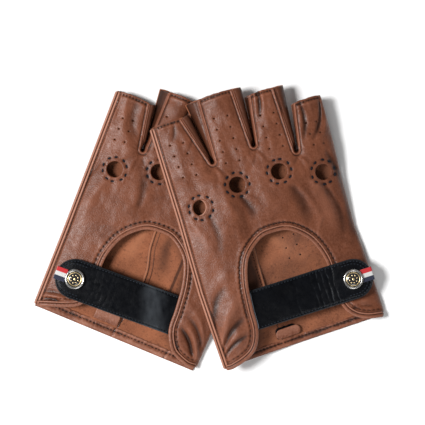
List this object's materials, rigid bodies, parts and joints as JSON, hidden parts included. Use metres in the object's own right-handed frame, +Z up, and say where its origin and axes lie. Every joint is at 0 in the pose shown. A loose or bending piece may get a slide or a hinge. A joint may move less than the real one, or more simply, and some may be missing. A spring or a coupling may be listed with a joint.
{
  "type": "fingerless driving gloves",
  "caption": "Fingerless leather driving gloves lying overlapped, backs up, with knuckle holes, an open back of the hand and a snap-fastened wrist strap.",
  "frame": {"origin": "centre of the bounding box in plan, on the surface that the gloves lie on", "axes": "+X across the fanned gloves, from the left glove to the right one; +Y from the cuffs to the fingertips; +Z up, away from the surface they lie on"},
  "size_m": [0.2266, 0.1856, 0.027],
  "materials": {
    "brown_leather": "smooth brown lamb leather with a soft sheen",
    "suede_side": "napped flesh side of the palm leather",
    "black_leather": "smooth black leather, satin",
    "striped_ribbon": "woven ribbon striped red, white and navy",
    "nickel_plate": "polished nickel plate",
    "enamelled_badge": "brass with dark enamel"
  },
  "bodies": {
    "left_glove": {"left_back_panel": "brown_leather", "left_palm_panel": "suede_side", "left_thumb_side_palm": "suede_side", "left_fourchette_index_middle": "brown_leather", "left_fourchette_middle_ring": "brown_leather", "left_fourchette_ring_little": "brown_leather", "left_opening_binding": "brown_leather", "left_thumb_side_piping": "brown_leather", "left_little_side_piping": "brown_leather", "left_palm_hem": "brown_leather", "left_strap_root": "black_leather", "left_snap_stud": "nickel_plate", "left_snap_eyelet": "nickel_plate"},
    "left_closing_strap": {"left_strap": "black_leather", "left_strap_lining": "black_leather", "left_strap_ribbon": "striped_ribbon", "left_snap_cap": "nickel_plate", "left_snap_badge": "enamelled_badge", "left_snap_socket": "nickel_plate"},
    "left_thumb": {"left_thumb_sleeve": "brown_leather"},
    "left_tab": {"left_pull_tab": "brown_leather", "left_tab_backing": "black_leather"},
    "right_glove": {"right_back_panel": "brown_leather", "right_palm_panel": "suede_side", "right_thumb_side_palm": "suede_side", "right_fourchette_index_middle": "brown_leather", "right_fourchette_middle_ring": "brown_leather", "right_fourchette_ring_little": "brown_leather", "right_opening_binding": "brown_leather", "right_thumb_side_piping": "brown_leather", "right_little_side_piping": "brown_leather", "right_palm_hem": "brown_leather", "right_strap_root": "black_leather", "right_snap_stud": "nickel_plate", "right_snap_eyelet": "nickel_plate"},
    "right_closing_strap": {"right_strap": "black_leather", "right_strap_lining": "black_leather", "right_strap_ribbon": "striped_ribbon", "right_snap_cap": "nickel_plate", "right_snap_badge": "enamelled_badge", "right_snap_socket": "nickel_plate"},
    "right_thumb": {"right_thumb_sleeve": "brown_leather"},
    "right_tab": {"right_pull_tab": "brown_leather", "right_tab_backing": "black_leather"}
  },
  "joints": [
    {"name": "right_glove_lift", "type": "slide", "parent": "left_glove", "child": "right_glove", "axis": [0, 0, 1], "range_m": [0, 0.1]},
    {"name": "left_strap_hinge", "type": "hinge", "parent": "left_glove", "child": "left_closing_strap", "pos_m": [-0.02412, -0.05517, 0.01169], "axis": [0.3453, 0.9385, 0], "range_deg": [0, 120]},
    {"name": "left_thumb_swing", "type": "hinge", "parent": "left_glove", "child": "left_thumb", "pos_m": [-0.00372, -0.0403, 0], "axis": [0, 0, -1], "range_deg": [0, 35]},
    {"name": "left_tab_hinge", "type": "hinge", "parent": "left_glove", "child": "left_tab", "pos_m": [-0.06826, -0.06022, 0.0026], "axis": [0.9239, -0.3827, 0], "range_deg": [0, 100]},
    {"name": "right_strap_hinge", "type": "hinge", "parent": "right_glove", "child": "right_closing_strap", "pos_m": [0.02862, -0.05204, 0.02261], "axis": [0.299, -0.9542, 0], "range_deg": [0, 120]},
    {"name": "right_thumb_swing", "type": "hinge", "parent": "right_glove", "child": "right_thumb", "pos_m": [0.01003, -0.03794, 0.0129], "axis": [0, 0, 1], "range_deg": [0, 35]},
    {"name": "right_tab_hinge", "type": "hinge", "parent": "right_glove", "child": "right_tab", "pos_m": [0.05216, -0.06929, 0.00367], "axis": [0.9483, 0.3173, 0], "range_deg": [0, 100]}
  ]
}
